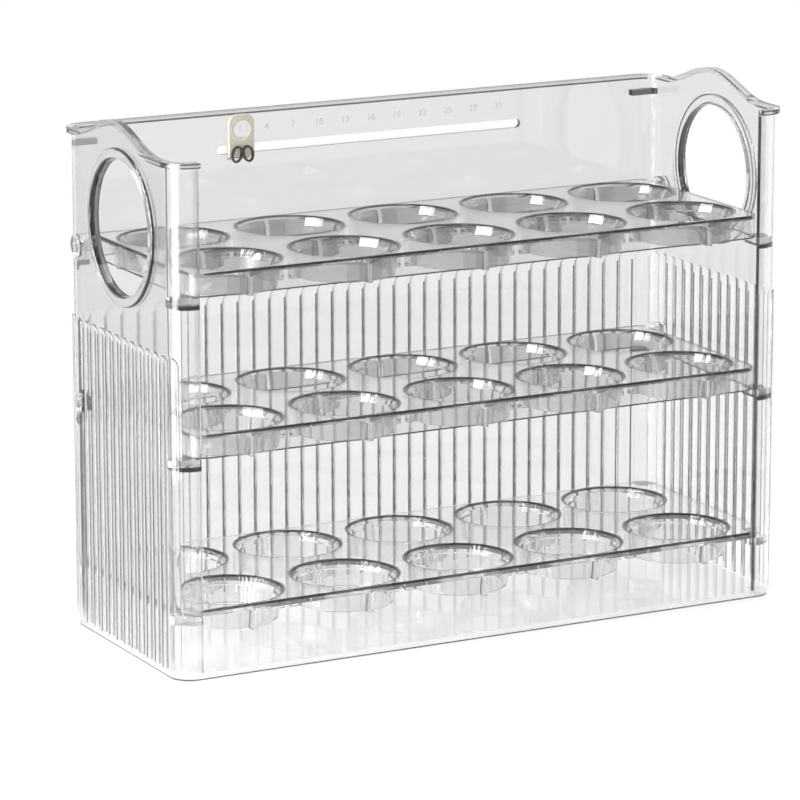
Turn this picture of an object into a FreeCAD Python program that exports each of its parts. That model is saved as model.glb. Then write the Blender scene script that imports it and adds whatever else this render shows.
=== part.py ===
import FreeCAD, Part
import math
import os

# Three-tier clear egg storage box: casing, two flip-up trays, a drop-in tray and a date slider.
# Millimetres; origin under the middle of the base, +X right, +Y towards the back wall, +Z up.

V = FreeCAD.Vector
AXIS_X = V(1, 0, 0)
AXIS_Y = V(0, 1, 0)
AXIS_Z = V(0, 0, 1)

# Casing walls
wall_half_width = 128.0
wall_half_depth = 48.0
wall = 2.0
base_thickness = 2.5
wall_height = 192.0
corner_radius = 8.0
inner_half_width = wall_half_width - wall
inner_half_depth = wall_half_depth - wall
inner_corner_radius = corner_radius - wall
return_flat = 1.7
back_flat_half = wall_half_width - corner_radius
front_opening_half = back_flat_half - return_flat
side_flat_half = wall_half_depth - corner_radius

# Rim lip and the rise of each side wall over its hand hole
rim_proud = 2.0
rim_height = 1.8
crest_centre = 3.0
crest_end_gap = 1.0
crest_half_span = side_flat_half - crest_centre - crest_end_gap
crest_rise = 8.5
crest_steps = 12

# Hand holes
hand_hole_y = -1.5
hand_hole_drop = 30.7
hand_hole_z = wall_height - hand_hole_drop
hand_hole_radius = 25.5
hand_ring_width = 4.0
hand_ring_radius = hand_hole_radius + hand_ring_width
hand_ring_proud = 1.2
hand_ring_inside = 0.7
hand_ring_round = 0.9

# Fluted lower wall, under a plain band
plain_band = 71.5
flute_top = wall_height - plain_band
flute_bottom = base_thickness
flute_pitch = 6.77
flute_groove = 0.5
flute_proud = 0.9
flute_root = 0.8
corner_flute_angles = (22.5, 67.5)

# Tray levels and shared tray sizes
top_tray_drop = 40.8
lower_tier = 65.6
bottom_level = 25.9
middle_level = bottom_level + lower_tier
top_level = wall_height - top_tray_drop
plate = 1.8
cup_pitch = 48.5
cup_rim_radius = 20.2
cup_throat_radius = 18.2
cup_foot_radius = 17.3
cup_flare_depth = 3.5
cup_depth = 10.0
cup_wall = 1.5
cup_ring_radius = cup_rim_radius + cup_wall
cup_rib = 1.8
cup_rib_reach = 3.2
rim_round = 0.8
rim_steps = 3
tray_edge_round = 0.6

# Flip-up trays
flip_side_gap = 5.4
flip_front_setback = 1.1
flip_rear_gap = 4.0
flip_half_width = inner_half_width - flip_side_gap
flip_front = flip_front_setback - wall_half_depth
flip_rear = inner_half_depth - flip_rear_gap
flip_front_row = flip_front + cup_ring_radius
flip_row_pitch = 45.0
flip_corner_front = corner_radius
flip_corner_rear = 4.0
skirt_depth = 8.9
skirt = 1.6

# Drop-in tray
drop_gap = 0.6
drop_front_setback = 1.4
drop_edge = 0.2
drop_half_width = inner_half_width - drop_gap
drop_front = drop_front_setback - wall_half_depth
drop_rear = inner_half_depth - drop_gap
drop_front_row = drop_front + drop_edge + cup_ring_radius
drop_row_pitch = 48.0
drop_plate = 2.4
drop_corner_ease = 2.3
drop_corner_front = corner_radius + return_flat + drop_corner_ease
drop_corner_rear = inner_corner_radius

# Flip pivots
pivot_inset = 4.0
pivot_y = flip_rear - pivot_inset
pivot_drop = 3.5
pivot_clearance = 0.05
pin_radius = 2.45
pin_recess = 0.3
boss_wall = 2.0
boss_radius = pin_radius + pivot_clearance + boss_wall
boss_side_gap = 1.4
boss_inner_end = flip_half_width + boss_side_gap
boss_proud = 0.8

# Corner ledges under the trays
ledge_thickness = 3.0
ledge_reach = 8.0

# Stops that hold a flipped tray just past upright
flip_past_upright = 2.0
stop_drop = 6.4
stop_level = wall_height - stop_drop
stop_height = 2.2
stop_length = 9.5
stop_wall_gap = 1.0
stop_outer_x = inner_half_width - stop_wall_gap
stop_inner_x = stop_outer_x - stop_length
stop_clearance = 0.3

# Date slot and slider
slot_half_length = 66.0
slot_drop = 14.8
slot_level = wall_height - slot_drop
slot_height = 3.6
slider_from_end = 9.8
slider_x = slider_from_end - slot_half_length
slider_half_width = 5.2
slider_below = 2.9
slider_above = 13.4
slider_bottom = slot_level - slider_below
slider_top = slot_level + slider_above
slider_thickness = 1.5
slider_gap = 0.1
slider_round = 3.4
window_above = 7.6
window_level = slot_level + window_above
window_radius = 3.6
window_ring = 1.0
window_ring_proud = 0.5
stem_half_width = 3.0
stem_clearance = 0.15
clip_side = 1.6
clip_overlap = 2.4
clip_half_width = stem_half_width + clip_side
clip_half_height = slot_height / 2 + clip_overlap
clip_thickness = 1.2
stem_end_proud = 0.2
grip_loop_width = 2.3
grip_loop_height = 3.3
grip_wire = 0.8
grip_loop_offset = 2.35
grip_below = 1.8
grip_level = slot_level - grip_below
grip_proud = 0.9
grip_lean = 14.0
grip_peg_radius = 0.8
grip_peg_depth = 1.0


def box(x0, x1, y0, y1, z0, z1):
    return Part.makeBox(x1 - x0, y1 - y0, z1 - z0, V(x0, y0, z0))


def rounded_box(x0, x1, y0, y1, z0, z1, front_radius, rear_radius):
    solid = box(x0, x1, y0, y1, z0, z1)
    middle = (y0 + y1) / 2
    for radius, at_front in ((front_radius, True), (rear_radius, False)):
        edges = []
        for edge in solid.Edges:
            upright = abs(edge.BoundBox.ZLength - (z1 - z0)) < 1e-6
            on_corner = edge.BoundBox.XLength < 1e-6 and edge.BoundBox.YLength < 1e-6
            in_front = edge.BoundBox.YMax < middle
            sharp = min(abs(edge.BoundBox.XMin - x0), abs(edge.BoundBox.XMin - x1)) < 1e-6
            if upright and on_corner and sharp and in_front == at_front:
                edges.append(edge)
        solid = solid.makeFillet(radius, edges)
    return solid


def cylinder_x(radius, x0, x1, y, z):
    return Part.makeCylinder(radius, x1 - x0, V(x0, y, z), AXIS_X)


def revolved(profile, x, y, z):
    wire = Part.makePolygon([V(r, 0, h) for r, h in profile + profile[:1]])
    solid = Part.Face(wire).revolve(V(0, 0, 0), AXIS_Z, 360)
    solid.translate(V(x, y, z))
    return solid


def crest_curve(drop):
    points = []
    for step in range(crest_steps + 1):
        along = 2.0 * step / crest_steps - 1.0
        lift = crest_rise * 0.5 * (1.0 + math.cos(math.pi * along))
        points.append(V(0, crest_centre + along * crest_half_span, wall_height + lift - drop))
    curve = Part.BSplineCurve()
    curve.interpolate(Points=points, InitialTangent=AXIS_Y, FinalTangent=AXIS_Y)
    return curve.toShape()


def crest_band(x0, x1, depth):
    upper = crest_curve(0.0)
    lower = crest_curve(depth)
    front = Part.makeLine(upper.Vertexes[0].Point, lower.Vertexes[0].Point)
    rear = Part.makeLine(upper.Vertexes[1].Point, lower.Vertexes[1].Point)
    face = Part.Face(Part.Wire([upper, rear, lower, front]))
    face.translate(V(x0, 0, 0))
    return face.extrude(V(x1 - x0, 0, 0))


def crest_web(x0, x1):
    upper = crest_curve(0.0)
    start = upper.Vertexes[0].Point
    end = upper.Vertexes[1].Point
    low = V(0, 0, -rim_height)
    sides = [Part.makeLine(end, end + low), Part.makeLine(end + low, start + low)]
    face = Part.Face(Part.Wire([upper] + sides + [Part.makeLine(start + low, start)]))
    face.translate(V(x0, 0, 0))
    return face.extrude(V(x1 - x0, 0, 0))


def flute(width):
    half = width / 2
    shoulder = flute_top - half
    outline = Part.Wire([
        Part.makeLine(V(-half, 0, flute_bottom), V(half, 0, flute_bottom)),
        Part.makeLine(V(half, 0, flute_bottom), V(half, 0, shoulder)),
        Part.Arc(V(half, 0, shoulder), V(0, 0, flute_top), V(-half, 0, shoulder)).toShape(),
        Part.makeLine(V(-half, 0, shoulder), V(-half, 0, flute_bottom)),
    ])
    outline.translate(V(0, -flute_root, 0))
    slab = Part.Face(outline).extrude(V(0, flute_root + flute_proud, 0))
    radius = (half * half + flute_proud * flute_proud) / (2 * flute_proud)
    roll = Part.makeCylinder(radius, flute_top, V(0, flute_proud - radius, 0))
    return slab.common(roll)


def placed_flute(width, x, y, out_x, out_y):
    piece = flute(width)
    piece.rotate(V(0, 0, 0), AXIS_Z, math.degrees(math.atan2(-out_x, out_y)))
    piece.translate(V(x, y, 0))
    return piece


def all_flutes():
    width = flute_pitch - flute_groove
    pieces = []
    back_count = round(2 * back_flat_half / flute_pitch)
    for index in range(back_count):
        x = (index - (back_count - 1) / 2) * flute_pitch
        pieces.append(placed_flute(width, x, wall_half_depth, 0, 1))
    side_count = round(2 * side_flat_half / flute_pitch)
    for index in range(side_count):
        y = (index - (side_count - 1) / 2) * flute_pitch
        pieces.append(placed_flute(width, -wall_half_width, y, -1, 0))
        pieces.append(placed_flute(width, wall_half_width, y, 1, 0))
    corner_step = math.radians(corner_flute_angles[1] - corner_flute_angles[0])
    corner_width = corner_step * corner_radius - flute_groove
    for side in (-1, 1):
        for angle in corner_flute_angles:
            pieces.append(corner_flute(corner_width, side, 1, angle))
        pieces.append(corner_flute(corner_width, side, -1, corner_flute_angles[0]))
    return pieces


def corner_flute(width, side, end, angle):
    lean = math.radians(angle)
    out_x = side * math.cos(lean)
    out_y = end * math.sin(lean)
    x = side * back_flat_half + corner_radius * out_x
    y = end * side_flat_half + corner_radius * out_y
    return placed_flute(width, x, y, out_x, out_y)


def corner_ledge(side, end, level):
    # quarter-round shelf that fills a corner of the casing just under a tray
    x0, x1 = sorted((side * (inner_half_width - ledge_reach), side * (inner_half_width + wall / 2)))
    y0, y1 = sorted((end * (inner_half_depth - ledge_reach), end * (inner_half_depth + wall / 2)))
    shelf = box(x0, x1, y0, y1, level - ledge_thickness, level)
    limit = rounded_box(-wall_half_width, wall_half_width, -wall_half_depth, wall_half_depth,
                        level - ledge_thickness, level, corner_radius, corner_radius)
    return shelf.common(limit)


def hand_ring(side):
    # round-edged ring that thickens the wall on both faces around a hand hole
    inner_x = side * (inner_half_width - hand_ring_inside)
    outer_x = side * (wall_half_width + hand_ring_proud)
    x0, x1 = sorted((inner_x, outer_x))
    disc = cylinder_x(hand_ring_radius, x0, x1, hand_hole_y, hand_hole_z)
    ring = disc.cut(cylinder_x(hand_hole_radius, x0, x1, hand_hole_y, hand_hole_z))
    edges = []
    for edge in ring.Edges:
        if edge.BoundBox.XLength < hand_ring_round and abs(edge.BoundBox.XMin - outer_x) < hand_ring_round:
            edges.append(edge)
    return ring.makeFillet(hand_ring_round, edges)


def stop_bar(side, pivot_z):
    lean = math.tan(math.radians(flip_past_upright))
    face_y = pivot_y + pivot_drop + (stop_level - pivot_z) * lean + stop_clearance
    x0, x1 = sorted((side * stop_inner_x, side * stop_outer_x))
    half = stop_height / 2
    return box(x0, x1, face_y, inner_half_depth + wall / 2, stop_level - half, stop_level + half)


def make_casing():
    outer = rounded_box(-wall_half_width, wall_half_width, -wall_half_depth, wall_half_depth,
                        0, wall_height, corner_radius, corner_radius)
    room = rounded_box(-inner_half_width, inner_half_width, -inner_half_depth, inner_half_depth,
                       base_thickness, wall_height + rim_height, inner_corner_radius, inner_corner_radius)
    shell = outer.cut(room)

    lip = rounded_box(-wall_half_width - rim_proud, wall_half_width + rim_proud,
                      -wall_half_depth - rim_proud, wall_half_depth + rim_proud,
                      wall_height - rim_height, wall_height,
                      corner_radius + rim_proud, corner_radius + rim_proud)
    lip = lip.cut(room)
    crest_front = crest_centre - crest_half_span
    crest_rear = crest_centre + crest_half_span
    for side in (-1, 1):
        x0, x1 = sorted((side * wall_half_width, side * (wall_half_width + rim_proud)))
        lip = lip.cut(box(x0, x1, crest_front, crest_rear, wall_height - rim_height, wall_height))

    added = [lip]
    for side in (-1, 1):
        x0, x1 = sorted((side * inner_half_width, side * wall_half_width))
        added.append(crest_web(x0, x1))
        x0, x1 = sorted((side * inner_half_width, side * (wall_half_width + rim_proud)))
        added.append(crest_band(x0, x1, rim_height))
        added.append(hand_ring(side))
        for level in (top_level, middle_level):
            x0, x1 = sorted((side * boss_inner_end, side * (wall_half_width + boss_proud)))
            added.append(cylinder_x(boss_radius, x0, x1, pivot_y, level - pivot_drop))
            added.append(corner_ledge(side, -1, level - skirt_depth))
        for end in (-1, 1):
            added.append(corner_ledge(side, end, bottom_level - drop_plate))
        added.append(stop_bar(side, top_level - pivot_drop))
    shell = shell.fuse(added + all_flutes()).removeSplitter()

    reach = wall_half_width + hand_ring_proud + wall
    cuts = [box(-front_opening_half, front_opening_half, -wall_half_depth - rim_proud, -inner_half_depth,
                base_thickness, wall_height)]
    cuts.append(cylinder_x(hand_hole_radius, -reach, reach, hand_hole_y, hand_hole_z))
    for level in (top_level, middle_level):
        cuts.append(cylinder_x(pin_radius + pivot_clearance, -reach, reach, pivot_y, level - pivot_drop))
    half = slot_height / 2
    slot_y0 = inner_half_depth - wall
    slot_y1 = wall_half_depth + wall
    straight = slot_half_length - half
    cuts.append(box(-straight, straight, slot_y0, slot_y1, slot_level - half, slot_level + half))
    for side in (-1, 1):
        cuts.append(Part.makeCylinder(half, slot_y1 - slot_y0, V(side * straight, slot_y0, slot_level), AXIS_Y))
    return shell.cut(cuts)


def cup_outer(x, y, level):
    throat = cup_throat_radius + cup_wall
    foot = cup_foot_radius + cup_wall
    profile = [(0, 0), (cup_ring_radius, 0), (throat, -cup_flare_depth), (foot, -cup_depth), (0, -cup_depth)]
    return revolved(profile, x, y, level)


def cup_inner(x, y, level):
    # runs a little past the foot and, with straight sides, past the rim
    over = cup_wall
    slope = (cup_throat_radius - cup_foot_radius) / (cup_depth - cup_flare_depth)
    below = cup_foot_radius - slope * over
    flare = math.atan2(cup_flare_depth, cup_rim_radius - cup_throat_radius)
    brim = cup_rim_radius + rim_round * math.tan(flare / 2)
    profile = [(0, over), (brim, over)]
    for step in range(rim_steps + 1):
        turn = flare * step / rim_steps
        profile.append((brim - rim_round * math.sin(turn), rim_round * (math.cos(turn) - 1)))
    profile += [(cup_throat_radius, -cup_flare_depth), (below, -cup_depth - over), (0, -cup_depth - over)]
    return revolved(profile, x, y, level)


def cup_ribs(x, y, level, under, front_reach):
    # four small upright ribs outside the ring; the front one may run on to the skirt
    half = cup_rib / 2
    reach = cup_throat_radius + cup_wall + cup_rib_reach
    low = level - cup_depth
    high = level - under
    cross = box(x - reach, x + reach, y - half, y + half, low, high)
    upright = box(x - half, x + half, y - max(reach, front_reach), y + reach, low, high)
    return [cross, upright]


def tray_block(half_width, front, rear, bottom, level, radii):
    # rounded block whose upper outer edge is softened
    block = rounded_box(-half_width, half_width, front, rear, bottom, level, radii[0], radii[1])
    edges = [edge for edge in block.Edges if edge.BoundBox.ZMin > level - tray_edge_round]
    return block.makeFillet(tray_edge_round, edges)


def fitting(length, pitch):
    # how many egg rings stand side by side in a length
    return int((length - 2 * cup_ring_radius) / pitch) + 1


def make_tray(level, half_width, front, rear, thickness, radii, front_row, row_pitch, with_skirt):
    plate_solid = tray_block(half_width, front, rear, level - thickness, level, radii)
    added = []
    if with_skirt:
        band = rounded_box(-half_width, half_width, front, rear, level - skirt_depth, level - thickness / 2,
                           radii[0], radii[1])
        hollow = rounded_box(-half_width + skirt, half_width - skirt, front + skirt, rear - skirt,
                             level - skirt_depth, level, radii[0] - skirt, radii[1] - skirt)
        added.append(band.cut(hollow))
    bounds = tray_block(half_width, front, rear, level - cup_depth, level, radii)
    holes = []
    columns = fitting(2 * half_width, cup_pitch)
    for row in range(fitting(rear - front, row_pitch)):
        y = front_row + row * row_pitch
        for column in range(columns):
            x = (column - (columns - 1) / 2) * cup_pitch
            front_reach = y - front - skirt / 2 if with_skirt and row == 0 else 0
            pieces = [cup_outer(x, y, level)] + cup_ribs(x, y, level, thickness / 2, front_reach)
            added += [piece.common(bounds) for piece in pieces]
            holes.append(cup_inner(x, y, level))
    return plate_solid.fuse(added).removeSplitter().cut(holes)


def make_flip_tray(level):
    tray = make_tray(level, flip_half_width, flip_front, flip_rear, plate,
                     (flip_corner_front, flip_corner_rear), flip_front_row, flip_row_pitch, True)
    pins = []
    for side in (-1, 1):
        x0, x1 = sorted((side * (flip_half_width - skirt / 2), side * (wall_half_width + boss_proud - pin_recess)))
        pins.append(cylinder_x(pin_radius, x0, x1, pivot_y, level - pivot_drop))
    return tray.fuse(pins)


def make_drop_tray():
    return make_tray(bottom_level, drop_half_width, drop_front, drop_rear, drop_plate,
                     (drop_corner_front, drop_corner_rear), drop_front_row, drop_row_pitch, False)


def make_slider_tag():
    back_y = inner_half_depth - slider_gap
    front_y = back_y - slider_thickness
    tag = box(slider_x - slider_half_width, slider_x + slider_half_width, front_y, back_y, slider_bottom, slider_top)
    upper = []
    for edge in tag.Edges:
        along_y = abs(edge.BoundBox.YLength - slider_thickness) < 1e-6
        if along_y and edge.BoundBox.XLength < 1e-6 and edge.BoundBox.ZMin > window_level:
            upper.append(edge)
    tag = tag.makeFillet(slider_round, upper)
    ring_y = front_y - window_ring_proud
    ring = Part.makeCylinder(window_radius + window_ring, slider_thickness, V(slider_x, ring_y, window_level), AXIS_Y)
    half = slot_height / 2 - stem_clearance
    stem_end = wall_half_depth + slider_gap + clip_thickness + stem_end_proud
    stem = box(slider_x - stem_half_width, slider_x + stem_half_width, back_y - slider_thickness / 2, stem_end,
               slot_level - half, slot_level + half)
    tag = tag.fuse([ring, stem])
    window = Part.makeCylinder(window_radius, slider_thickness * 2, V(slider_x, ring_y, window_level), AXIS_Y)
    peg_hole = Part.makeCylinder(grip_peg_radius, grip_peg_depth, V(slider_x, front_y, grip_level), AXIS_Y)
    return tag.cut([window, peg_hole])


def make_slider_grip():
    # two finger loops side by side on one peg
    front_y = inner_half_depth - slider_gap - slider_thickness
    y0 = front_y - grip_proud
    pieces = []
    for side in (-1, 1):
        loop = Part.makeCylinder(grip_loop_height, grip_proud, V(0, y0, 0), AXIS_Y)
        eye = Part.makeCylinder(grip_loop_height - grip_wire, grip_proud, V(0, y0, 0), AXIS_Y)
        squeeze = FreeCAD.Matrix()
        squeeze.scale(V(grip_loop_width / grip_loop_height, 1, 1))
        loop = loop.transformGeometry(squeeze)
        squeeze_eye = FreeCAD.Matrix()
        squeeze_eye.scale(V((grip_loop_width - grip_wire) / (grip_loop_height - grip_wire), 1, 1))
        eye = eye.transformGeometry(squeeze_eye)
        ring = loop.cut(eye)
        ring.rotate(V(0, 0, 0), AXIS_Y, -side * grip_lean)
        ring.translate(V(slider_x + side * grip_loop_offset, 0, grip_level))
        pieces.append(ring)
    bridge_half = grip_loop_offset - grip_loop_width + grip_wire
    bridge = box(slider_x - bridge_half, slider_x + bridge_half, y0, front_y, grip_level - grip_wire,
                 grip_level + grip_wire)
    peg = Part.makeCylinder(grip_peg_radius, grip_peg_depth + grip_proud, V(slider_x, y0, grip_level), AXIS_Y)
    return pieces[0].fuse([pieces[1], bridge, peg]).removeSplitter()


def make_slider_clip():
    y0 = wall_half_depth + slider_gap
    clip = box(slider_x - clip_half_width, slider_x + clip_half_width, y0, y0 + clip_thickness,
               slot_level - clip_half_height, slot_level + clip_half_height)
    half = slot_height / 2 - stem_clearance
    return clip.cut(box(slider_x - stem_half_width, slider_x + stem_half_width, y0, y0 + clip_thickness,
                        slot_level - half, slot_level + half))


def main():
    os.makedirs("parts", exist_ok=True)
    nodes = {
        "casing": make_casing(),
        "top_tray": make_flip_tray(top_level),
        "middle_tray": make_flip_tray(middle_level),
        "bottom_tray": make_drop_tray(),
        "slider_tag": make_slider_tag(),
        "slider_grip": make_slider_grip(),
        "slider_clip": make_slider_clip(),
    }
    for name, shape in nodes.items():
        solids = shape.Solids
        print(name, "solids", len(solids), "valid", shape.isValid(), "volume", round(shape.Volume))
        shape.exportStep("parts/" + name + ".step")


main()
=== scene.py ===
import math

import bpy
from bpy.props import FloatProperty, FloatVectorProperty, IntProperty, PointerProperty
from mathutils import Matrix, Vector


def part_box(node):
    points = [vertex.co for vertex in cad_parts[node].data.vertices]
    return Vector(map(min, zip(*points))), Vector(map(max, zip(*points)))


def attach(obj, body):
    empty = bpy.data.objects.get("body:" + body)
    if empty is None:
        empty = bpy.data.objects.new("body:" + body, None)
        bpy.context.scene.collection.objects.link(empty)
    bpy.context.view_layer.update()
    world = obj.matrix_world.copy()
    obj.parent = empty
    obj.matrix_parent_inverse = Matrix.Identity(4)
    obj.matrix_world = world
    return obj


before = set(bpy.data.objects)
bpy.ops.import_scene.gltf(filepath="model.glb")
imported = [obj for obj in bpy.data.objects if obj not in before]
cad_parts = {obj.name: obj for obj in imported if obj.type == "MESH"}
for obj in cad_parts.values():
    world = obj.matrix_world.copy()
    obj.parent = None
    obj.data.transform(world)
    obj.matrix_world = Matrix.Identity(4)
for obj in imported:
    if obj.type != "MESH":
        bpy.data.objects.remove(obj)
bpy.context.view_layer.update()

bl_info = {
    "name": "Clear Egg Box Finishes",
    "version": (1, 0, 0),
    "blender": (4, 5, 0),
    "location": "View3D > Sidebar > Egg Box",
    "description": "Finishes, moulded date numbers and studio for a three-tier clear egg box",
    "category": "Object",
}

# Casing walls, inside the rim lip, in metres
CASING_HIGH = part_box("casing")[1]
RIM_PROUD = 0.002
WALL = 0.002
CORNER_RADIUS = 0.008
RETURN_FLAT = 0.0017
WALL_TOP = 0.192
BASE_TOP = 0.0025
OUTER_X, OUTER_Y = CASING_HIGH.x - RIM_PROUD, CASING_HIGH.y - RIM_PROUD
INNER_X, INNER_Y = OUTER_X - WALL, OUTER_Y - WALL
CORNER_X, CORNER_Y = OUTER_X - CORNER_RADIUS, OUTER_Y - CORNER_RADIUS
RETURN_END = CORNER_X - RETURN_FLAT
LIP_BOTTOM = WALL_TOP - 0.0025
LIP_LINES = (WALL_TOP - 0.0016, WALL_TOP - 0.0002)

# Fluted lower walls, hand holes and stop bars
FLUTE_PITCH = 0.00677
FLUTE_TOP = WALL_TOP - 0.0715
FLUTE_SHOULDER = FLUTE_TOP - 0.0031
HOLE_Y, HOLE_Z = -0.0015, WALL_TOP - 0.0307
HOLE_RADIUS = 0.0255
RING_RADIUS = HOLE_RADIUS + 0.0039
STOP_X, STOP_Y = INNER_X - 0.0115, INNER_Y - 0.0035
STOP_LEVEL, STOP_HALF = WALL_TOP - 0.0064, 0.0012

# How near to a face or a line a point counts as on it
HAIR = 0.0001
FINE_LINE = 0.0003
IN_WALL = 0.0002
OUT_OF_WALL = 0.0003
RETURN_FACE = 0.00006
RETURN_ROOT = 0.0005

# Strength and size of the single painted shade lines, and how clear the foot's sides are
SIDE_GROOVE_GROWTH = 0.45
GROOVE_CORE = 0.5
RIM_CORE = 0.6
HOLE_WALL_SHARE = 0.88
FOOT_LINE_TOP, FOOT_CLEAR_BOTTOM, FOOT_CLEARNESS = 0.0006, 0.0009, 0.55

# Trays and the ledges under the two that flip
CUP_PITCH, CUP_RADIUS, CUP_RING, CUP_ROOM = 0.0485, 0.0205, 0.0217, 0.0005
RIM_DEPTH = 0.0009
SKIRT_DEPTH = 0.0089
FLIP_TRAY = {"side_gap": 0.0054, "edge": 0.0, "row_pitch": 0.045, "skirt": SKIRT_DEPTH}
DROP_TRAY = {"side_gap": 0.0006, "edge": 0.0002, "row_pitch": 0.048, "skirt": 0.0}


def tray_places(node, side_gap, edge, row_pitch, skirt):
    """Where a tray's rows of cups, edges and skirt lie, from its box in the frame"""
    low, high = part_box(node)
    front_row = low.y + edge + CUP_RING
    return {"level": high.z, "skirt": skirt, "half": INNER_X - side_gap, "front": low.y,
            "front_row": front_row, "rear_row": front_row + row_pitch}


TRAYS = {
    "top_tray": tray_places("top_tray", **FLIP_TRAY),
    "middle_tray": tray_places("middle_tray", **FLIP_TRAY),
    "bottom_tray": tray_places("bottom_tray", **DROP_TRAY),
}
LEDGE_REACH, LEDGE_THICKNESS, LEDGE_FOOT = 0.008, 0.003, 0.0009
LEDGE_HALF = LEDGE_THICKNESS / 2 + HAIR
LEDGE_DROP = SKIRT_DEPTH + LEDGE_THICKNESS / 2
LEDGE_LEVELS = [TRAYS[node]["level"] - LEDGE_DROP for node in ("top_tray", "middle_tray")]

# Surface of the two kinds of plastic
CLEAR_SKIN = {"wave_scale": 35.0, "grain_scale": 1500.0, "grain_share": 0.1, "roughness_spread": 0.02}
SOLID_SKIN = {"wave_scale": 260.0, "grain_scale": 4200.0, "grain_share": 0.35, "roughness_spread": 0.12}
CLEAR_BUMP = {"distance": 0.0002, "strength": 0.12}
SOLID_BUMP = {"distance": 0.0001, "strength": 0.25}
MOTTLE_DEPTH = 0.02
SMOOTH_ANGLE = math.radians(28.0)

# Studio
STAGE_AIM = (0.0, 0.0, 0.1)
SIDE_LAMP = {"place": (-1.5, 0.1, 0.80), "aim": STAGE_AIM, "width": 1.2, "height": 1.4}
LOW_LAMP = {"place": (-0.42, -0.085, 0.10), "aim": (0.0, -0.085, 0.10), "width": 0.21, "height": 0.20}
TOP_LAMP = {"place": (0.0, 0.1, 1.7), "aim": STAGE_AIM, "width": 1.2, "height": 1.2}
FLOOR_HALF, FLOOR_LEVEL, FLOOR_PAPER = 6.0, -0.0003, (0.95, 0.95, 0.95, 1)
FLOOR_FADE_START, FLOOR_FADE_END = 0.18, 0.60
BACKDROP_WAY = (0.472, 0.882, 0.0)
ROOM_DARK_END, ROOM_WHITE_START = 0.15, 0.75
WHITE = (1, 1, 1, 1)
SENSOR_WIDTH, VIEW_END = 36.0, 50.0


def colour(name, text, value):
    return FloatVectorProperty(name=name, description=text, subtype="COLOR", size=4, min=0, max=1,
                               default=(*value, 1))


def share(name, text, value, top=1.0):
    return FloatProperty(name=name, description=text, min=0, max=top, default=value)


def length(name, text, value):
    return FloatProperty(name=name, description=text, unit="LENGTH", default=value)


def power(name, text, value):
    return FloatProperty(name=name, description=text, unit="POWER", default=value)


def point(name, text, value):
    return FloatVectorProperty(name=name, description=text, subtype="TRANSLATION", size=3, default=value)


class PlasticSettings(bpy.types.PropertyGroup):
    """Clear moulded plastic of the casing and the trays"""

    wall_tint: colour("Plain wall tint", "Tint of light through the plain upper walls", (0.80, 0.805, 0.81))
    # Painted light: the fluted back gets a lighter tint than the plain upper walls, standing in for the light
    # that the flutes scatter
    flute_painted_light_tint: colour("Fluted wall tint", "Tint of light through the fluted back", (0.85, 0.854, 0.858))
    # Painted light and painted highlight: the fluted sides and the round front corners get a near clear tint,
    # standing in for the light they scatter and the highlight on the front corners
    side_painted_light_tint: colour("Fluted side tint", "Tint of light through the fluted sides", (0.96, 0.962, 0.964))
    # Painted shade: the rim lip and the ledges get a darker tint, standing in for the dark that the thick
    # clear edges show
    edge_painted_shade_tint: colour("Edge tint", "Tint of light through the rim lip and ledges", (0.55, 0.554, 0.558))
    # Painted shade: near black lines in the grooves, on the lip, ledge feet, foot, hand rings, stop bars and
    # return ends, standing in for dark refraction lines
    line_painted_shade_tint: colour("Groove tint", "Tint of light in the casing's dark lines", (0.02, 0.021, 0.022))
    tray_tint: colour("Tray tint", "Tint of light through the trays' plates", (0.84, 0.844, 0.848))
    # Painted shade: the cup walls get a darker tint in each tray, darkest in the top one, standing in for the
    # shade seen in the cups
    top_tray_painted_cup_shade: colour("Top cup tint", "Tint of light through the top cups", (0.60, 0.604, 0.608))
    middle_tray_painted_cup_shade: colour("Middle cup tint", "Tint of light through the middle cups", (0.72, 0.724, 0.728))
    bottom_tray_painted_cup_shade: colour("Bottom cup tint", "Tint of light through the bottom cups", (0.82, 0.824, 0.828))
    # Painted shade: near black lines on the cup rims, the tray edges and the skirt's foot, standing in for
    # dark refraction lines
    rim_painted_shade_tint: colour("Rim tint", "Tint of light through the cup rims and tray edges", (0.02, 0.021, 0.022))
    # Half width of the painted shade line on a rim
    rim_width: length("Rim width", "Half the width of the dark line on a rim", 0.0009)
    # Half width of the painted shade lines in the grooves
    groove_width: length("Groove width", "Half the width of the dark line in a groove", 0.0005)
    casing_clear: share("Casing clearness", "Share of light that passes the casing unscattered", 0.97)
    tray_clear: share("Tray clearness", "Share of light that passes the trays unscattered", 0.93)
    tint_blend: length("Tint blend", "Height over which the two wall tints run together", 0.003)
    haze: share("Haze", "Surface roughness of the polished plastic", 0.02)
    refraction: share("Refraction", "Index of refraction of the plastic", 1.53, 2.0)
    casing_shade: colour("Casing shade", "Lamp light left by one face of the casing", (0.95, 0.953, 0.956))
    tray_shade: colour("Tray shade", "Lamp light left by one face of a tray", (0.84, 0.843, 0.846))


class SliderSettings(bpy.types.PropertyGroup):
    """Date slider colours and polish"""

    tag_colour: colour("Tag colour", "Ivory of the tag", (0.91, 0.86, 0.76))
    tag_shade: colour("Tag shade", "Darker ivory in the tag's mottling", (0.85, 0.78, 0.65))
    tag_roughness: share("Tag roughness", "Surface roughness of the tag and clip", 0.28)
    grip_colour: colour("Grip colour", "Dark brown of the finger loops", (0.060, 0.045, 0.038))
    grip_shade: colour("Grip shade", "Lighter brown in the loops' mottling", (0.110, 0.080, 0.062))
    grip_roughness: share("Grip roughness", "Surface roughness of the finger loops", 0.22)


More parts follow.
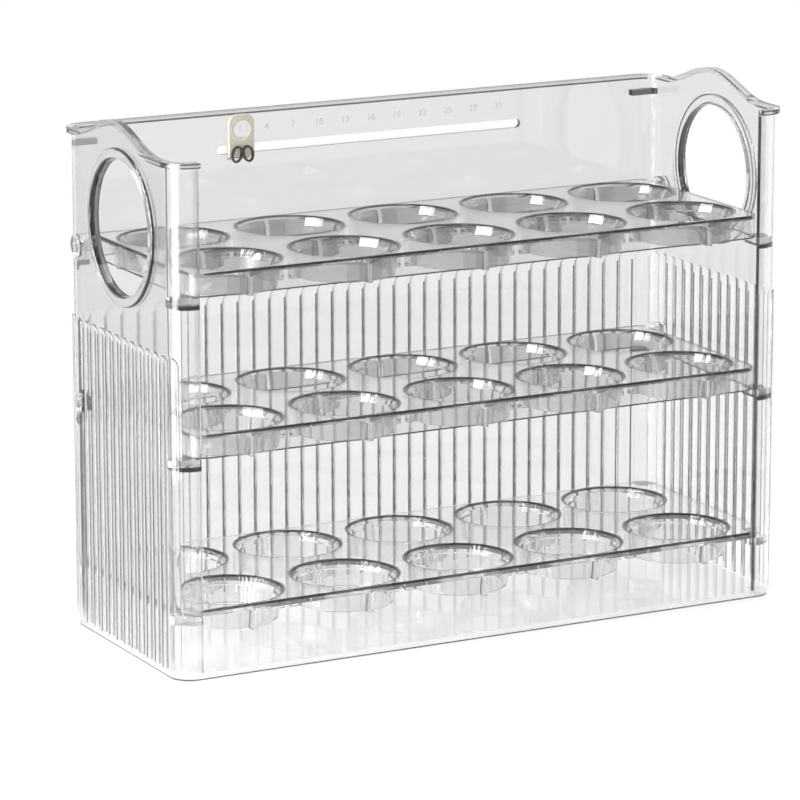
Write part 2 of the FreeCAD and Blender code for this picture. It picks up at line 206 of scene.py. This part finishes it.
class NumberSettings(bpy.types.PropertyGroup):
    """Moulded date numbers on the back wall"""

    first: IntProperty(name="First day", description="First number in the row", default=1)
    step: IntProperty(name="Step", description="Days from one number to the next", default=3)
    count: IntProperty(name="Count", description="How many numbers there are", default=11)
    size: length("Digit size", "Height of the text", 0.0036)
    proud: length("Proud", "How far the digits stand off the wall", 0.00006)
    level: length("Level", "Height of the row's middle", 0.1848)
    half_row: length("Half row", "Half the length of the row", 0.0562)
    haze: share("Haze", "Surface roughness of the digits", 0.08)


class StageSettings(bpy.types.PropertyGroup):
    """Camera, lamps, floor and surroundings"""

    camera_place: point("Camera place", "Where the camera stands", (-0.80839, -1.51057, 0.48402))
    camera_aim: point("Camera aim", "Point that the lens axis passes through", STAGE_AIM)
    lens: FloatProperty(name="Lens", description="Focal length", unit="CAMERA", default=207.07)
    shift_x: FloatProperty(name="Shift X", description="Sideways lens shift", default=-0.0342)
    shift_y: FloatProperty(name="Shift Y", description="Upward lens shift", default=-0.0570)
    side_power: power("Side lamp", "Power of the left soft box that the cups mirror", 70.0)
    low_power: power("Low lamp", "Power of the low left soft box that the front corner mirrors", 1.2)
    top_power: power("Top lamp", "Power of the overhead soft box", 15.0)
    room_dark: share("Dark side", "Brightness of the room behind the camera", 0.28)
    floor_white: share("Floor white", "Share of plain white in what the near floor shows", 0.52)


class EggBoxSettings(bpy.types.PropertyGroup):
    """All settings of the egg box"""

    plastic: PointerProperty(type=PlasticSettings)
    slider: PointerProperty(type=SliderSettings)
    numbers: PointerProperty(type=NumberSettings)
    stage: PointerProperty(type=StageSettings)


def settings():
    return bpy.context.scene.egg_box


def add_node(tree, kind, **values):
    node = tree.nodes.new(kind)
    for key, value in values.items():
        setattr(node, key, value)
    return node


def join(tree, source, target):
    tree.links.new(source, target)


def feed(tree, value, socket):
    """Links a socket's value, or sets a plain one"""
    if isinstance(value, bpy.types.NodeSocket):
        join(tree, value, socket)
    else:
        socket.default_value = value


def shared_group(name, inputs, outputs, fill):
    """The node group of this name, filled when it is first asked for"""
    tree = bpy.data.node_groups.get(name)
    if tree:
        return tree
    tree = bpy.data.node_groups.new(name, "ShaderNodeTree")
    for label, kind, value in inputs:
        socket = tree.interface.new_socket(name=label, in_out="INPUT", socket_type="NodeSocket" + kind)
        if value is not None:
            socket.default_value = value
    for label, kind in outputs:
        tree.interface.new_socket(name=label, in_out="OUTPUT", socket_type="NodeSocket" + kind)
    fill(tree, tree.nodes.new("NodeGroupInput").outputs, tree.nodes.new("NodeGroupOutput").inputs)
    return tree


def calc(tree, operation, *values):
    node = add_node(tree, "ShaderNodeMath", operation=operation)
    for slot, value in enumerate(values):
        feed(tree, value, node.inputs[slot])
    return node.outputs[0]


def over(tree, value, limit):
    return calc(tree, "GREATER_THAN", value, limit)


def under(tree, value, limit):
    return calc(tree, "LESS_THAN", value, limit)


def near(tree, value, level, reach):
    return calc(tree, "COMPARE", value, level, reach)


def near_any(tree, value, levels, reach):
    return any_of(tree, *(near(tree, value, level, reach) for level in levels))


def all_of(tree, *masks):
    result = masks[0]
    for mask in masks[1:]:
        result = calc(tree, "MULTIPLY", result, mask)
    return result


def any_of(tree, *masks):
    result = masks[0]
    for mask in masks[1:]:
        result = calc(tree, "MAXIMUM", result, mask)
    return result


def opposite(tree, mask):
    return calc(tree, "SUBTRACT", 1.0, mask)


def apart(tree, first, second):
    """Length of the diagonal of two offsets"""
    squares = [calc(tree, "MULTIPLY", offset, offset) for offset in (first, second)]
    return calc(tree, "SQRT", calc(tree, "ADD", *squares))


def smooth_range(tree, value, start, end, first, last):
    """Runs smoothly from first to last while the value runs from start to end"""
    node = add_node(tree, "ShaderNodeMapRange", interpolation_type="SMOOTHSTEP")
    for slot, item in enumerate((value, start, end, first, last)):
        feed(tree, item, node.inputs[slot])
    return node.outputs[0]


def dark_line(tree, distance, width, core):
    """1 on a line, fading to 0 between its core and its width"""
    return smooth_range(tree, distance, calc(tree, "MULTIPLY", width, core), width, 1.0, 0.0)


def blend(tree, mask, first, second):
    node = add_node(tree, "ShaderNodeMix", data_type="RGBA")
    feed(tree, mask, node.inputs[0])
    feed(tree, first, node.inputs[6])
    feed(tree, second, node.inputs[7])
    return node.outputs[2]


def noise(tree, vector, scale, detail):
    node = add_node(tree, "ShaderNodeTexNoise")
    join(tree, vector, node.inputs["Vector"])
    feed(tree, detail, node.inputs["Detail"])
    feed(tree, scale, node.inputs["Scale"])
    return node.outputs["Fac"]


def split_place(tree, vector):
    """X as a distance from the middle, then Y and Z"""
    split = add_node(tree, "ShaderNodeSeparateXYZ")
    join(tree, vector, split.inputs[0])
    return calc(tree, "ABSOLUTE", split.outputs["X"]), split.outputs["Y"], split.outputs["Z"]


def moulded_skin_group():
    """Slow flow waves, fine grain and uneven polish of a moulded surface"""

    def fill(tree, source, target):
        wave = noise(tree, source["Vector"], source["Wave Scale"], 2.0)
        grain = noise(tree, source["Vector"], source["Grain Scale"], 1.0)
        fine = calc(tree, "MULTIPLY", grain, source["Grain Share"])
        spread = calc(tree, "MULTIPLY", wave, source["Roughness Spread"])
        join(tree, calc(tree, "ADD", wave, fine), target["Height"])
        join(tree, calc(tree, "ADD", spread, source["Roughness"]), target["Roughness"])
        join(tree, wave, target["Mottle"])

    return shared_group("Moulded skin", [
        ("Vector", "Vector", None), ("Wave Scale", "Float", 40.0), ("Grain Scale", "Float", 1800.0),
        ("Grain Share", "Float", 0.15), ("Roughness", "Float", 0.03), ("Roughness Spread", "Float", 0.02),
    ], [("Roughness", "Float"), ("Height", "Float"), ("Mottle", "Float")], fill)


def level_tint_group():
    """Two tints that meet at a height, each a little mottled"""

    def fill(tree, source, target):
        _, _, height = split_place(tree, source["Vector"])
        above = calc(tree, "SUBTRACT", height, source["Level"])
        clamp = add_node(tree, "ShaderNodeClamp")
        join(tree, calc(tree, "ADD", calc(tree, "DIVIDE", above, source["Blend"]), 0.5), clamp.inputs[0])
        tint = blend(tree, clamp.outputs[0], source["Lower"], source["Upper"])
        shade = calc(tree, "MULTIPLY", source["Mottle"], source["Mottle Depth"])
        scale = add_node(tree, "ShaderNodeVectorMath", operation="SCALE")
        join(tree, tint, scale.inputs[0])
        join(tree, opposite(tree, shade), scale.inputs["Scale"])
        join(tree, scale.outputs[0], target["Color"])

    return shared_group("Level tint", [
        ("Vector", "Vector", None), ("Mottle", "Float", 0.5), ("Mottle Depth", "Float", MOTTLE_DEPTH),
        ("Level", "Float", FLUTE_TOP), ("Blend", "Float", 0.003),
        ("Lower", "Color", WHITE), ("Upper", "Color", WHITE),
    ], [("Color", "Color")], fill)


def groove_lines(tree, wide, deep, on_side, pitch, width):
    """Painted shade lines in the grooves, counted from the middle of the back and of each side"""
    half = calc(tree, "MULTIPLY", pitch, 0.5)
    back_far = calc(tree, "SUBTRACT", half, calc(tree, "PINGPONG", wide, half))
    side_far = calc(tree, "PINGPONG", deep, half)
    more = calc(tree, "MULTIPLY", on_side, calc(tree, "SUBTRACT", side_far, back_far))
    growth = calc(tree, "ADD", 1.0, calc(tree, "MULTIPLY", on_side, SIDE_GROOVE_GROWTH))
    grown = calc(tree, "MULTIPLY", width, growth)
    return dark_line(tree, calc(tree, "ADD", back_far, more), grown, GROOVE_CORE)


def hand_ring_lines(tree, wide, y, z):
    """Painted shade lines on both edges of the hand rings outside the wall, and on the wall of the hole
    itself
    """
    reach = apart(tree, calc(tree, "SUBTRACT", y, HOLE_Y), calc(tree, "SUBTRACT", z, HOLE_Z))
    edges = near_any(tree, reach, (HOLE_RADIUS, RING_RADIUS), FINE_LINE)
    hole_wall = calc(tree, "MULTIPLY", near(tree, reach, HOLE_RADIUS, HAIR), HOLE_WALL_SHARE)
    return any_of(tree, all_of(tree, edges, over(tree, wide, OUTER_X + HAIR)), hole_wall)


def wall_marks_group():
    """Masks on the casing: painted shade lines, painted shade on the thick edges, painted light on the fluted
    sides and front corners, and how solid its foot is
    """

    def fill(tree, source, target):
        wide, y, z = split_place(tree, source["Vector"])
        deep = calc(tree, "ABSOLUTE", y)
        on_side = over(tree, wide, INNER_X + IN_WALL)
        on_wall = any_of(tree, on_side, over(tree, y, INNER_Y + IN_WALL))
        outside = any_of(tree, over(tree, wide, OUTER_X + OUT_OF_WALL),
                         over(tree, deep, OUTER_Y + OUT_OF_WALL))
        round_corner = all_of(tree, over(tree, wide, CORNER_X), over(tree, deep, CORNER_Y))
        front_corner = all_of(tree, round_corner, under(tree, y, 0.0))
        ledge_corner = all_of(tree, over(tree, wide, INNER_X - LEDGE_REACH),
                              over(tree, deep, INNER_Y - LEDGE_REACH), opposite(tree, on_side))
        foot_face = any_of(tree, over(tree, wide, OUTER_X - HAIR), over(tree, deep, OUTER_Y - HAIR),
                           round_corner)

        grooves = groove_lines(tree, wide, deep, on_side, source["Pitch"], source["Groove Width"])
        fluted = all_of(tree, over(tree, z, BASE_TOP), under(tree, z, FLUTE_SHOULDER))
        ledge_feet = near_any(tree, z, [level - LEDGE_HALF for level in LEDGE_LEVELS], LEDGE_FOOT)
        stops = all_of(tree, near(tree, z, STOP_LEVEL, STOP_HALF), over(tree, wide, STOP_X),
                       over(tree, y, STOP_Y), under(tree, y, INNER_Y - HAIR))
        return_ends = all_of(tree, near(tree, wide, RETURN_END, RETURN_FACE),
                             under(tree, y, RETURN_ROOT - INNER_Y),
                             over(tree, z, BASE_TOP), under(tree, z, LIP_BOTTOM))
        # Painted shade lines: grooves between flutes, lip edges, ledge feet, the base's foot, hand ring edges
        # and hole walls, stop bars and return ends
        join(tree, any_of(
            tree,
            all_of(tree, grooves, opposite(tree, round_corner), fluted, on_wall),
            all_of(tree, outside, near_any(tree, z, LIP_LINES, FINE_LINE)),
            all_of(tree, ledge_corner, ledge_feet),
            all_of(tree, foot_face, under(tree, z, FOOT_LINE_TOP)),
            hand_ring_lines(tree, wide, y, z), stops, return_ends), target["Groove"])

        # Painted shade on the rim lip and the ledges
        rim_lip = all_of(tree, outside, over(tree, z, LIP_BOTTOM))
        ledges = all_of(tree, ledge_corner, near_any(tree, z, LEDGE_LEVELS, LEDGE_HALF))
        join(tree, any_of(tree, rim_lip, ledges), target["Edge"])

        # Painted light on the fluted sides and painted highlight on the round front corners
        fluted_side = all_of(tree, on_side, under(tree, z, FLUTE_TOP))
        join(tree, any_of(tree, fluted_side, front_corner), target["Side"])

        base_side = all_of(tree, foot_face, over(tree, z, FOOT_CLEAR_BOTTOM), under(tree, z, BASE_TOP + HAIR))
        thin = any_of(tree, base_side, under(tree, z, HAIR))
        join(tree, opposite(tree, calc(tree, "MULTIPLY", thin, FOOT_CLEARNESS)), target["Alpha"])

    return shared_group("Wall marks", [
        ("Vector", "Vector", None), ("Pitch", "Float", FLUTE_PITCH), ("Groove Width", "Float", 0.0005),
    ], [("Groove", "Float"), ("Edge", "Float"), ("Side", "Float"), ("Alpha", "Float")], fill)


def cup_rims_group():
    """Masks on a tray: painted shade lines on its rims and edges, and painted shade on the walls of its two
    rows of cups
    """

    def fill(tree, source, target):
        wide, y, z = split_place(tree, source["Vector"])
        below = calc(tree, "SUBTRACT", source["Level"], z)
        along = calc(tree, "PINGPONG", wide, CUP_PITCH / 2)
        rows = [calc(tree, "SUBTRACT", y, source[row]) for row in ("Front Row", "Rear Row")]
        across = calc(tree, "MINIMUM", *(calc(tree, "ABSOLUTE", row) for row in rows))
        reach = apart(tree, along, across)
        # Cup walls below the rims, where each tray's painted cup shade goes
        cup = under(tree, reach, CUP_RING + CUP_ROOM)

        # Painted shade lines along the cup rims, the tray's front and ends, and the skirt's foot
        rim_far = calc(tree, "ABSOLUTE", calc(tree, "SUBTRACT", reach, CUP_RADIUS))
        front_far = calc(tree, "SUBTRACT", y, source["Front"])
        end_far = calc(tree, "SUBTRACT", source["Half"], wide)
        far = calc(tree, "MINIMUM", rim_far, calc(tree, "MINIMUM", front_far, end_far))
        rims = dark_line(tree, far, source["Width"], RIM_CORE)
        skirt_foot = all_of(tree, near(tree, below, source["Skirt"], FINE_LINE),
                            over(tree, source["Skirt"], 0.0), opposite(tree, cup))
        join(tree, any_of(tree, all_of(tree, rims, under(tree, below, RIM_DEPTH)), skirt_foot), target["Rim"])
        join(tree, all_of(tree, cup, over(tree, below, RIM_DEPTH)), target["Cup"])

    return shared_group("Cup rims", [
        ("Vector", "Vector", None), ("Level", "Float", 0.15), ("Skirt", "Float", SKIRT_DEPTH),
        ("Half", "Float", 0.12), ("Front", "Float", -0.047), ("Front Row", "Float", -0.025),
        ("Rear Row", "Float", 0.02), ("Width", "Float", 0.0006),
    ], [("Rim", "Float"), ("Cup", "Float")], fill)


def place_group(tree, group, **values):
    node = add_node(tree, "ShaderNodeGroup", node_tree=group)
    for label, value in values.items():
        feed(tree, value, node.inputs[label.replace("_", " ").title()])
    return node.outputs


def new_material(name):
    material = bpy.data.materials.new(name)
    material.use_nodes = True
    tree = material.node_tree
    tree.nodes.clear()
    return material, tree, add_node(tree, "ShaderNodeOutputMaterial")


def mix_shaders(tree, mask, first, second, output):
    choice = add_node(tree, "ShaderNodeMixShader")
    join(tree, mask, choice.inputs[0])
    join(tree, first.outputs[0], choice.inputs[1])
    join(tree, second.outputs[0], choice.inputs[2])
    join(tree, choice.outputs[0], output.inputs["Surface"])


def object_place(tree):
    return add_node(tree, "ShaderNodeTexCoord").outputs["Object"]


def add_skin(tree, shader, vector, roughness, values, bump_values):
    """Moulded surface: uneven polish and a fine bump"""
    skin = place_group(tree, moulded_skin_group(), vector=vector, roughness=roughness, **values)
    bump = add_node(tree, "ShaderNodeBump")
    bump.inputs["Distance"].default_value = bump_values["distance"]
    bump.inputs["Strength"].default_value = bump_values["strength"]
    join(tree, skin["Height"], bump.inputs["Height"])
    join(tree, bump.outputs[0], shader.inputs["Normal"])
    join(tree, skin["Roughness"], shader.inputs["Roughness"])
    return skin["Mottle"]


def clear_plastic(name, lower, upper, clearness, shade, haze, marked=False, tray=None, cup=None):
    """Clear polished plastic that bends light and lets the lamps through"""
    options = settings().plastic
    material, tree, output = new_material(name)
    shader = add_node(tree, "ShaderNodeBsdfPrincipled")
    vector = object_place(tree)
    mottle = add_skin(tree, shader, vector, haze, CLEAR_SKIN, CLEAR_BUMP)
    tint = place_group(tree, level_tint_group(), vector=vector, mottle=mottle, mottle_depth=MOTTLE_DEPTH,
                       level=FLUTE_TOP, blend=options.tint_blend, lower=lower, upper=upper)["Color"]
    if marked:
        marks = place_group(tree, wall_marks_group(), vector=vector, groove_width=options.groove_width)
        # Painted light on the fluted sides and painted highlight on the front corners
        tint = blend(tree, marks["Side"], tint, options.side_painted_light_tint)
        # Painted shade on the rim lip and the ledges
        tint = blend(tree, marks["Edge"], tint, options.edge_painted_shade_tint)
        # Painted shade lines
        tint = blend(tree, marks["Groove"], tint, options.line_painted_shade_tint)
        join(tree, marks["Alpha"], shader.inputs["Alpha"])
    if tray:
        rims = place_group(tree, cup_rims_group(), vector=vector, width=options.rim_width, **tray)
        # Painted shade on the cup walls
        tint = blend(tree, rims["Cup"], tint, cup)
        # Painted shade lines on the rims, edges and skirt foot
        tint = blend(tree, rims["Rim"], tint, options.rim_painted_shade_tint)
    join(tree, tint, shader.inputs["Base Color"])
    shader.inputs["Transmission Weight"].default_value = clearness
    shader.inputs["IOR"].default_value = options.refraction
    open_face = add_node(tree, "ShaderNodeBsdfTransparent")
    open_face.inputs["Color"].default_value = shade
    path = add_node(tree, "ShaderNodeLightPath")
    mix_shaders(tree, path.outputs["Is Shadow Ray"], shader, open_face, output)
    return material


def solid_plastic(name, base, shade, roughness):
    """Coloured moulded plastic with fine grain"""
    material, tree, output = new_material(name)
    shader = add_node(tree, "ShaderNodeBsdfPrincipled")
    mottle = add_skin(tree, shader, object_place(tree), roughness, SOLID_SKIN, SOLID_BUMP)
    join(tree, blend(tree, mottle, base, shade), shader.inputs["Base Color"])
    join(tree, shader.outputs[0], output.inputs["Surface"])
    return material


def dress(node, material):
    """Puts one finish on a CAD node and smooths its round faces"""
    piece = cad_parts[node]
    piece.data.materials.clear()
    piece.data.materials.append(material)
    piece.data.shade_smooth()
    piece.data.set_sharp_from_angle(angle=SMOOTH_ANGLE)


class EGGBOX_OT_casing(bpy.types.Operator):
    """Finish the casing in clear plastic with plain upper and fluted lower walls, with painted light and
    painted shade in its tints
    """

    bl_idname = "eggbox.finish_casing"
    bl_label = "Finish casing"

    def execute(self, context):
        options = settings().plastic
        # Painted light on the flutes: a lighter tint below the flute top than on the plain upper walls
        finish = clear_plastic("casing_clear", options.flute_painted_light_tint, options.wall_tint, options.casing_clear,
                               options.casing_shade, options.haze, marked=True)
        dress("casing", finish)
        return {"FINISHED"}


class EGGBOX_OT_trays(bpy.types.Operator):
    """Finish the three egg trays in slightly cloudy clear plastic, with painted shade on the cup walls and
    rims
    """

    bl_idname = "eggbox.finish_trays"
    bl_label = "Finish trays"

    def execute(self, context):
        options = settings().plastic
        tint = options.tray_tint
        for node, tray in TRAYS.items():
            # Each tray's own painted cup shade
            cup = getattr(options, node + "_painted_cup_shade")
            finish = clear_plastic(node + "_clear", tint, tint, options.tray_clear, options.tray_shade,
                                   options.haze, tray=tray, cup=cup)
            dress(node, finish)
        return {"FINISHED"}


class EGGBOX_OT_slider(bpy.types.Operator):
    """Finish the date slider's ivory tag and clip and its dark finger loops"""

    bl_idname = "eggbox.finish_slider"
    bl_label = "Finish date slider"

    def execute(self, context):
        options = settings().slider
        ivory = solid_plastic("slider_ivory", options.tag_colour, options.tag_shade, options.tag_roughness)
        dark = solid_plastic("slider_dark", options.grip_colour, options.grip_shade, options.grip_roughness)
        dress("slider_tag", ivory)
        dress("slider_clip", ivory)
        dress("slider_grip", dark)
        return {"FINISHED"}


def number_mesh(text, size, proud):
    """Mesh of one moulded number, upright and facing -Y"""
    curve = bpy.data.curves.new("number", "FONT")
    curve.body = text
    curve.size = size
    curve.align_x = "CENTER"
    curve.align_y = "CENTER"
    curve.extrude = proud
    helper = bpy.data.objects.new("number", curve)
    bpy.context.scene.collection.objects.link(helper)
    graph = bpy.context.evaluated_depsgraph_get()
    mesh = bpy.data.meshes.new_from_object(helper.evaluated_get(graph))
    bpy.data.objects.remove(helper)
    mesh.transform(Matrix.Rotation(math.radians(90.0), 4, "X"))
    return mesh


class EGGBOX_OT_numbers(bpy.types.Operator):
    """Mould a row of plain day numbers on the back wall above the slot"""

    bl_idname = "eggbox.build_numbers"
    bl_label = "Mould date numbers"

    def execute(self, context):
        options = settings().numbers
        plastic = settings().plastic
        vertices, faces = [], []
        for index in range(options.count):
            mesh = number_mesh(str(options.first + index * options.step), options.size, options.proud)
            along = 2 * index / (options.count - 1) - 1
            middle = Vector((along * options.half_row, INNER_Y, options.level))
            start = len(vertices)
            vertices += [tuple(vertex.co + middle) for vertex in mesh.vertices]
            faces += [[start + corner for corner in face.vertices] for face in mesh.polygons]
            bpy.data.meshes.remove(mesh)
        row = bpy.data.meshes.new("date_numbers")
        row.from_pydata(vertices, [], faces)
        row.materials.append(clear_plastic("number_frost", plastic.wall_tint, plastic.wall_tint,
                                           plastic.casing_clear, plastic.casing_shade, options.haze))
        piece = bpy.data.objects.new("date_numbers", row)
        context.scene.collection.objects.link(piece)
        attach(piece, "casing")
        return {"FINISHED"}


def turn_to(piece, start, aim):
    """Stands a lamp or camera at a place and turns it to a point"""
    piece.location = start
    piece.rotation_euler = (Vector(aim) - Vector(start)).to_track_quat("-Z", "Y").to_euler()


def soft_box(name, energy, place, aim, width, height):
    lamp = bpy.data.lights.new(name, "AREA")
    lamp.shape = "RECTANGLE"
    lamp.size = width
    lamp.size_y = height
    lamp.energy = energy
    piece = bpy.data.objects.new(name, lamp)
    turn_to(piece, place, aim)
    bpy.context.scene.collection.objects.link(piece)
    return piece


def build_lamps(options):
    """Two soft boxes on the left that only mirrors and clear faces show, and one overhead"""
    side = soft_box("side_lamp", options.side_power, **SIDE_LAMP)
    side.visible_diffuse = False
    low = soft_box("low_lamp", options.low_power, **LOW_LAMP)
    low.visible_diffuse = False
    low.visible_camera = False
    soft_box("top_lamp", options.top_power, **TOP_LAMP)


def floor_paper(white):
    """White paper that keeps a soft shadow near the box and runs out to plain white"""
    material, tree, output = new_material("floor_paper")
    paper = add_node(tree, "ShaderNodeBsdfDiffuse")
    paper.inputs["Color"].default_value = FLOOR_PAPER
    glow = add_node(tree, "ShaderNodeEmission")
    glow.inputs["Strength"].default_value = 1.0
    away = add_node(tree, "ShaderNodeVectorMath", operation="LENGTH")
    join(tree, object_place(tree), away.inputs[0])
    fade = smooth_range(tree, away.outputs["Value"], FLOOR_FADE_START, FLOOR_FADE_END, white, 1.0)
    path = add_node(tree, "ShaderNodeLightPath").outputs
    seen = any_of(tree, path["Is Camera Ray"], path["Is Glossy Ray"], path["Is Transmission Ray"])
    mix_shaders(tree, calc(tree, "MULTIPLY", seen, fade), paper, glow, output)
    return material


def build_floor(white):
    corners = [(x * FLOOR_HALF, y * FLOOR_HALF, FLOOR_LEVEL) for x, y in ((-1, -1), (1, -1), (1, 1), (-1, 1))]
    mesh = bpy.data.meshes.new("floor")
    mesh.from_pydata(corners, [], [(0, 1, 2, 3)])
    mesh.materials.append(floor_paper(white))
    floor = bpy.data.objects.new("floor", mesh)
    bpy.context.scene.collection.objects.link(floor)


def build_surroundings(dark):
    """White backdrop ahead of the lens that falls off to a darker room behind it"""
    world = bpy.data.worlds.new("studio")
    bpy.context.scene.world = world
    world.use_nodes = True
    tree = world.node_tree
    tree.nodes.clear()
    output = add_node(tree, "ShaderNodeOutputWorld")
    coords = add_node(tree, "ShaderNodeTexCoord")
    ahead = add_node(tree, "ShaderNodeVectorMath", operation="DOT_PRODUCT")
    join(tree, coords.outputs["Generated"], ahead.inputs[0])
    ahead.inputs[1].default_value = BACKDROP_WAY
    ramp = add_node(tree, "ShaderNodeValToRGB")
    stops = ((ROOM_DARK_END, (dark, dark, dark, 1)), (ROOM_WHITE_START, WHITE))
    for element, (position, tone) in zip(ramp.color_ramp.elements, stops):
        element.position = position
        element.color = tone
    half = calc(tree, "MULTIPLY", ahead.outputs["Value"], 0.5)
    join(tree, calc(tree, "ADD", half, 0.5), ramp.inputs[0])
    room = add_node(tree, "ShaderNodeBackground")
    join(tree, ramp.outputs[0], room.inputs["Color"])
    backdrop = add_node(tree, "ShaderNodeBackground")
    backdrop.inputs["Color"].default_value = WHITE
    path = add_node(tree, "ShaderNodeLightPath")
    mix_shaders(tree, path.outputs["Is Camera Ray"], room, backdrop, output)


def build_camera(options):
    data = bpy.data.cameras.new("camera")
    data.sensor_width = SENSOR_WIDTH
    data.lens = options.lens
    data.shift_x = options.shift_x
    data.shift_y = options.shift_y
    data.clip_end = VIEW_END
    camera = bpy.data.objects.new("camera", data)
    turn_to(camera, options.camera_place, options.camera_aim)
    bpy.context.scene.collection.objects.link(camera)
    bpy.context.scene.camera = camera


class EGGBOX_OT_stage(bpy.types.Operator):
    """Set up the floor, surroundings, soft boxes and camera"""

    bl_idname = "eggbox.set_stage"
    bl_label = "Set stage"

    def execute(self, context):
        options = settings().stage
        context.scene.view_settings.view_transform = "Standard"
        build_floor(options.floor_white)
        build_surroundings(options.room_dark)
        build_lamps(options)
        build_camera(options)
        return {"FINISHED"}


class EGGBOX_PT_panel(bpy.types.Panel):
    """Egg box operators and settings in the 3D view's sidebar"""

    bl_idname = "EGGBOX_PT_panel"
    bl_label = "Egg Box"
    bl_space_type = "VIEW_3D"
    bl_region_type = "UI"
    bl_category = "Egg Box"

    def draw(self, context):
        for operator in OPERATORS:
            self.layout.operator(operator.bl_idname)
        for group in ("plastic", "slider", "numbers", "stage"):
            values = getattr(context.scene.egg_box, group)
            box = self.layout.box()
            for name in values.__annotations__:
                box.prop(values, name)


SETTINGS = (PlasticSettings, SliderSettings, NumberSettings, StageSettings, EggBoxSettings)
OPERATORS = (EGGBOX_OT_stage, EGGBOX_OT_casing, EGGBOX_OT_trays, EGGBOX_OT_slider, EGGBOX_OT_numbers)
CLASSES = SETTINGS + OPERATORS + (EGGBOX_PT_panel,)


def register():
    for item in CLASSES:
        bpy.utils.register_class(item)
    bpy.types.Scene.egg_box = PointerProperty(type=EggBoxSettings)


def unregister():
    del bpy.types.Scene.egg_box
    for item in reversed(CLASSES):
        bpy.utils.unregister_class(item)


def main():
    register()
    bpy.ops.eggbox.set_stage()
    bpy.ops.eggbox.finish_casing()
    bpy.ops.eggbox.finish_trays()
    bpy.ops.eggbox.finish_slider()
    bpy.ops.eggbox.build_numbers()


if __name__ == "__main__":
    main()
